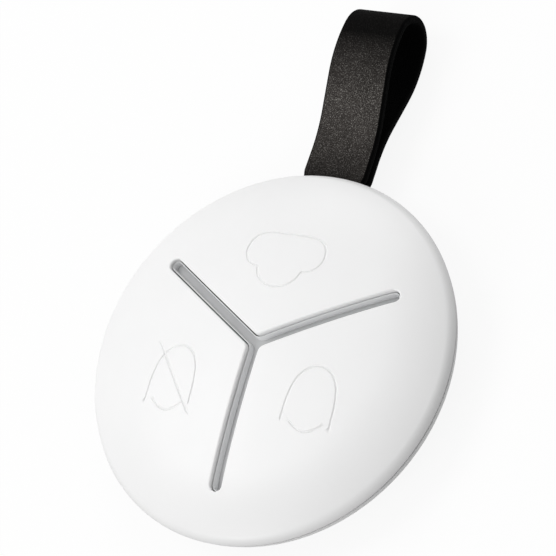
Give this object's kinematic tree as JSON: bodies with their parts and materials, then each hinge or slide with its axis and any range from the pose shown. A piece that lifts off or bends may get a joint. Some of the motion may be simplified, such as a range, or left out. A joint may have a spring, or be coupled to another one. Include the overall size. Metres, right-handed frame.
{
  "type": "alarm key fob",
  "caption": "Round domed alarm remote with keys round a Y-shaped light strip, a coin-cell door in the back and a strap loop.",
  "frame": {"origin": "centre of the flat back", "axes": "+Z out of the front, +Y towards the strap, X across"},
  "size_m": [0.06, 0.0883, 0.0136],
  "materials": {
    "white_plastic": "satin",
    "diffuser": "satin",
    "black_rubber": "matte",
    "cell_steel": "brushed",
    "board": "satin",
    "black_plastic": "matte",
    "screw_steel": "satin",
    "contact_metal": "satin",
    "shield_metal": "satin",
    "led_body": "satin",
    "component_ceramic": "matte",
    "strap_leather": "fine grain"
  },
  "bodies": {
    "case": {"front_cover": "white_plastic", "light_guide": "diffuser", "rear_cover": "white_plastic", "coin_cell": "cell_steel", "circuit_board": "board", "switch_bodies": "black_plastic", "cover_screws": "screw_steel", "board_screws": "screw_steel", "battery_contact_negative": "contact_metal", "battery_contact_positive": "contact_metal", "radio_shield": "shield_metal", "controller_chip": "black_plastic", "crystal": "shield_metal", "status_leds": "led_body", "board_components": "component_ceramic", "antenna": "contact_metal", "strap_bar": "screw_steel"},
    "top_key": {"key_top": "white_plastic"},
    "left_key": {"key_left": "white_plastic"},
    "right_key": {"key_right": "white_plastic"},
    "top_button": {"switch_button_top": "black_plastic"},
    "left_button": {"switch_button_left": "black_plastic"},
    "right_button": {"switch_button_right": "black_plastic"},
    "door": {"battery_door": "white_plastic", "door_seal": "black_rubber"},
    "strap_band": {"strap": "strap_leather"}
  },
  "joints": [
    {"name": "key_top_press", "type": "hinge", "parent": "case", "child": "top_key", "pos_m": [0, 0.0236, 0.00725], "axis": [1, 0, 0], "range_deg": [0, 1.7], "stiffness_Nm_per_rad": 0.3},
    {"name": "key_left_press", "type": "hinge", "parent": "case", "child": "left_key", "pos_m": [-0.02044, -0.0118, 0.00725], "axis": [-0.5, 0.866, 0], "range_deg": [0, 1.7], "stiffness_Nm_per_rad": 0.3},
    {"name": "key_right_press", "type": "hinge", "parent": "case", "child": "right_key", "pos_m": [0.02044, -0.0118, 0.00725], "axis": [-0.5, -0.866, 0], "range_deg": [0, 1.7], "stiffness_Nm_per_rad": 0.3},
    {"name": "switch_top_press", "type": "slide", "parent": "case", "child": "top_button", "axis": [0, 0, -1], "range_m": [0, 0.0003]},
    {"name": "switch_left_press", "type": "slide", "parent": "case", "child": "left_button", "axis": [0, 0, -1], "range_m": [0, 0.0003]},
    {"name": "switch_right_press", "type": "slide", "parent": "case", "child": "right_button", "axis": [0, 0, -1], "range_m": [0, 0.0003]},
    {"name": "battery_door_turn", "type": "hinge", "parent": "case", "child": "door", "pos_m": [0, 0, 0], "axis": [0, 0, -1], "range_deg": [0, 30]},
    {"name": "strap_swing", "type": "hinge", "parent": "case", "child": "strap_band", "pos_m": [0, 0.025, 0.00395], "axis": [1, 0, 0], "range_deg": [-4, 4]}
  ],
  "couplings": [
    {"joint": "switch_top_press", "follows": "key_top_press", "m_per_rad": 0.00994},
    {"joint": "switch_left_press", "follows": "key_left_press", "m_per_rad": 0.00994},
    {"joint": "switch_right_press", "follows": "key_right_press", "m_per_rad": 0.00994}
  ]
}
